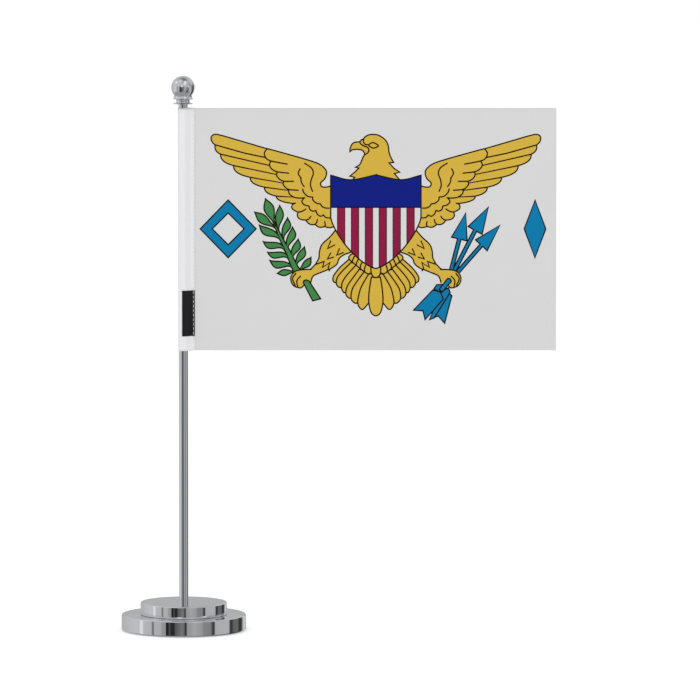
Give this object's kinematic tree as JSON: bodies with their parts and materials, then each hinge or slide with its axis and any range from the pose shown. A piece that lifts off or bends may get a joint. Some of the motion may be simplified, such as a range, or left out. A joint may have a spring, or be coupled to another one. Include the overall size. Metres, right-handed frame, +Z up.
{
  "type": "desk flag stand",
  "caption": "Desk flag on a slim chrome pole with a ball finial and a stepped round base; the flag turns and slides on the pole.",
  "frame": {"origin": "centre of the round face that the stand rests on, on the pole's axis", "axes": "+Z up the pole, +X from the pole to the flag's free edge, -Y out of the flag's printed face"},
  "size_m": [0.251, 0.072, 0.3214],
  "materials": {
    "chrome": "polished",
    "zinc_steel": "satin",
    "insert_brass": "satin",
    "pad_foam": "matte",
    "clear_silicone": "gloss",
    "flag_polyester": "matte",
    "sleeve_polyester": "matte",
    "sewing_thread": "matte",
    "label_ribbon": "satin"
  },
  "bodies": {
    "base": {"base_pad": "pad_foam", "base_lower_disc": "chrome", "base_upper_disc": "chrome", "base_washer": "zinc_steel"},
    "base_bolt": {"base_bolt": "zinc_steel"},
    "pole": {"pole_tube": "chrome", "pole_foot_insert": "insert_brass", "pole_top_insert": "insert_brass"},
    "finial_collar": {"finial_collar": "chrome"},
    "finial_ball": {"finial_ball": "chrome", "finial_stud": "zinc_steel"},
    "grip_band": {"grip_band": "clear_silicone"},
    "flag": {"flag_cloth": "flag_polyester", "flag_sleeve": "sleeve_polyester", "hem_thread": "sewing_thread", "seam_thread": "sewing_thread", "label": "label_ribbon"}
  },
  "joints": [
    {"name": "bolt_turn", "type": "hinge", "parent": "base", "child": "base_bolt", "pos_m": [0, 0, 0.0046], "axis": [0, 0, -1], "range_deg": [0, 4320]},
    {"name": "pole_lift", "type": "slide", "parent": "base", "child": "pole", "axis": [0, 0, 1], "range_m": [0, 0.006]},
    {"name": "finial_lift", "type": "slide", "parent": "pole", "child": "finial_collar", "axis": [0, 0, 1], "range_m": [0, 0.005]},
    {"name": "finial_turn", "type": "hinge", "parent": "finial_collar", "child": "finial_ball", "pos_m": [0, 0, 0.3147], "axis": [0, 0, 1], "range_deg": [0, 3600]},
    {"name": "flag_height", "type": "slide", "parent": "pole", "child": "grip_band", "axis": [0, 0, 1], "range_m": [-0.145, 0.002]},
    {"name": "flag_swivel", "type": "hinge", "parent": "grip_band", "child": "flag", "pos_m": [0, 0, 0.2325], "axis": [0, 0, 1], "continuous": true}
  ],
  "couplings": [
    {"joint": "bolt_turn", "follows": "pole_lift", "rad_per_m": 12566},
    {"joint": "finial_turn", "follows": "finial_lift", "rad_per_m": 12566}
  ]
}
